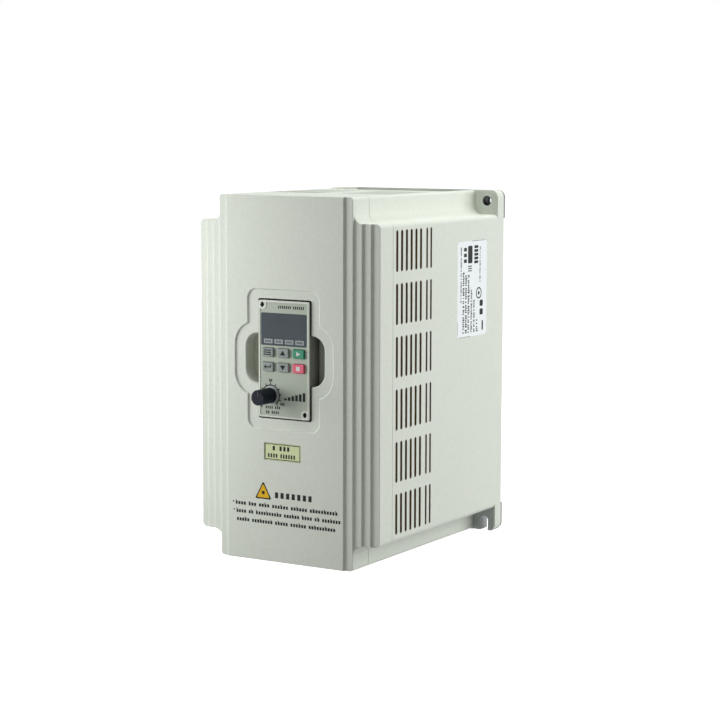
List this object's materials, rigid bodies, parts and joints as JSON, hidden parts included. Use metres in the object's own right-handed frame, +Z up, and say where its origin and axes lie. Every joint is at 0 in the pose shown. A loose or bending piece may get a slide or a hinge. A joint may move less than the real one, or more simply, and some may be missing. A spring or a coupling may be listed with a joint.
{
  "type": "variable frequency drive",
  "caption": "Wall-mounted variable frequency drive: vented case on a finned heatsink with fans, pull-off stepped cover, pull-out keypad with push keys and speed knob.",
  "frame": {"origin": "centre of the bottom of the whole object's box, on the surface that it stands on", "axes": "+X to the user's right as they face the keypad, +Y towards the wall, +Z up"},
  "size_m": [0.15, 0.207, 0.2602],
  "materials": {
    "housing_plastic": "fine moulded texture, warm light grey",
    "keypad_plastic": "smooth moulded",
    "overlay_film": "printed film, semi-matte",
    "key_grey": "moulded",
    "key_green": "moulded",
    "key_red": "moulded",
    "knob_black": "satin",
    "display_lens": "smoked lens",
    "label_light": "printed",
    "display_black": "satin",
    "led_clear": "moulded lens",
    "label_white": "printed film",
    "inset_label": "printed film",
    "heatsink_aluminium": "extruded, satin",
    "fan_plastic": "moulded",
    "guard_chrome": "plated wire",
    "screw_steel": "zinc plated",
    "plate_steel": "zinc plated sheet",
    "grommet_rubber": "moulded",
    "board_green": "solder mask",
    "module_case": "moulded epoxy",
    "thermal_pad": "soft filled pad",
    "capacitor_sleeve": "shrink sleeve",
    "relay_case": "moulded",
    "choke_winding": "enamelled wire on a ring",
    "film_yellow": "moulded box",
    "varistor_blue": "epoxy dipped",
    "transformer_tape": "ferrite with tape",
    "sensor_black": "moulded",
    "terminal_black": "moulded",
    "terminal_green": "moulded",
    "tray_plastic": "moulded",
    "standoff_brass": "turned",
    "ribbon_grey": "flat cable",
    "pot_body": "moulded with metal bush"
  },
  "bodies": {
    "case": {"housing": "housing_plastic", "heatsink": "heatsink_aluminium", "fan_frames": "fan_plastic", "fan_guards": "guard_chrome", "fan_screws": "screw_steel", "bottom_plate": "plate_steel", "cable_grommets": "grommet_rubber", "side_label": "label_white", "housing_screws": "screw_steel", "power_module": "module_case", "rectifier_module": "module_case", "thermal_pads": "thermal_pad", "module_screws": "screw_steel", "board_standoffs": "standoff_brass", "power_board": "board_green", "power_board_screws": "screw_steel", "bus_capacitors": "capacitor_sleeve", "charge_relay": "relay_case", "filter_choke": "choke_winding", "film_capacitors": "film_yellow", "varistors": "varistor_blue", "supply_transformer": "transformer_tape", "current_sensors": "sensor_black", "power_terminals": "terminal_black", "power_terminal_screws": "screw_steel", "board_tray": "tray_plastic", "control_board": "board_green", "control_board_screws": "screw_steel", "control_chips": "sensor_black", "control_terminals": "terminal_green", "control_terminal_screws": "screw_steel", "keypad_socket": "terminal_black", "ribbon_cable": "ribbon_grey"},
    "front_cover": {"front_cover": "housing_plastic", "inset_plate": "inset_label"},
    "keypad": {"keypad_bezel": "keypad_plastic", "keypad_overlay": "overlay_film", "display_window": "display_lens", "led_labels": "label_light", "display_module": "display_black", "status_leds": "led_clear", "keypad_board": "board_green", "key_switches": "sensor_black", "potentiometer": "pot_body", "keypad_back": "keypad_plastic", "keypad_plug": "terminal_black", "keypad_screws": "screw_steel"},
    "mode_key": {"mode_key": "key_grey"},
    "up_key": {"up_key": "key_grey"},
    "run_key": {"run_key": "key_green"},
    "enter_key": {"enter_key": "key_grey"},
    "down_key": {"down_key": "key_grey"},
    "stop_key": {"stop_key": "key_red"},
    "knob": {"knob": "knob_black", "knob_shaft": "screw_steel"},
    "fan_left": {"fan_impeller_left": "fan_plastic"},
    "fan_right": {"fan_impeller_right": "fan_plastic"}
  },
  "joints": [
    {"name": "cover_pull", "type": "slide", "parent": "case", "child": "front_cover", "axis": [0, -1, 0], "range_m": [0, 0.05]},
    {"name": "keypad_pull", "type": "slide", "parent": "front_cover", "child": "keypad", "axis": [0, -1, 0], "range_m": [0, 0.035]},
    {"name": "mode_key_press", "type": "slide", "parent": "keypad", "child": "mode_key", "axis": [0, 1, 0], "range_m": [0, 0.0008], "stiffness_N_per_m": 800},
    {"name": "up_key_press", "type": "slide", "parent": "keypad", "child": "up_key", "axis": [0, 1, 0], "range_m": [0, 0.0008], "stiffness_N_per_m": 800},
    {"name": "run_key_press", "type": "slide", "parent": "keypad", "child": "run_key", "axis": [0, 1, 0], "range_m": [0, 0.0008], "stiffness_N_per_m": 800},
    {"name": "enter_key_press", "type": "slide", "parent": "keypad", "child": "enter_key", "axis": [0, 1, 0], "range_m": [0, 0.0008], "stiffness_N_per_m": 800},
    {"name": "down_key_press", "type": "slide", "parent": "keypad", "child": "down_key", "axis": [0, 1, 0], "range_m": [0, 0.0008], "stiffness_N_per_m": 800},
    {"name": "stop_key_press", "type": "slide", "parent": "keypad", "child": "stop_key", "axis": [0, 1, 0], "range_m": [0, 0.0008], "stiffness_N_per_m": 800},
    {"name": "knob_turn", "type": "hinge", "parent": "keypad", "child": "knob", "pos_m": [-0.0112, -0.095, 0.1195], "axis": [0, 1, 0], "range_deg": [-150, 150]},
    {"name": "fan_left_spin", "type": "hinge", "parent": "case", "child": "fan_left", "pos_m": [-0.027, 0.07555, 0.236], "axis": [0, 0, 1], "continuous": true},
    {"name": "fan_right_spin", "type": "hinge", "parent": "case", "child": "fan_right", "pos_m": [0.027, 0.07555, 0.236], "axis": [0, 0, 1], "continuous": true}
  ]
}
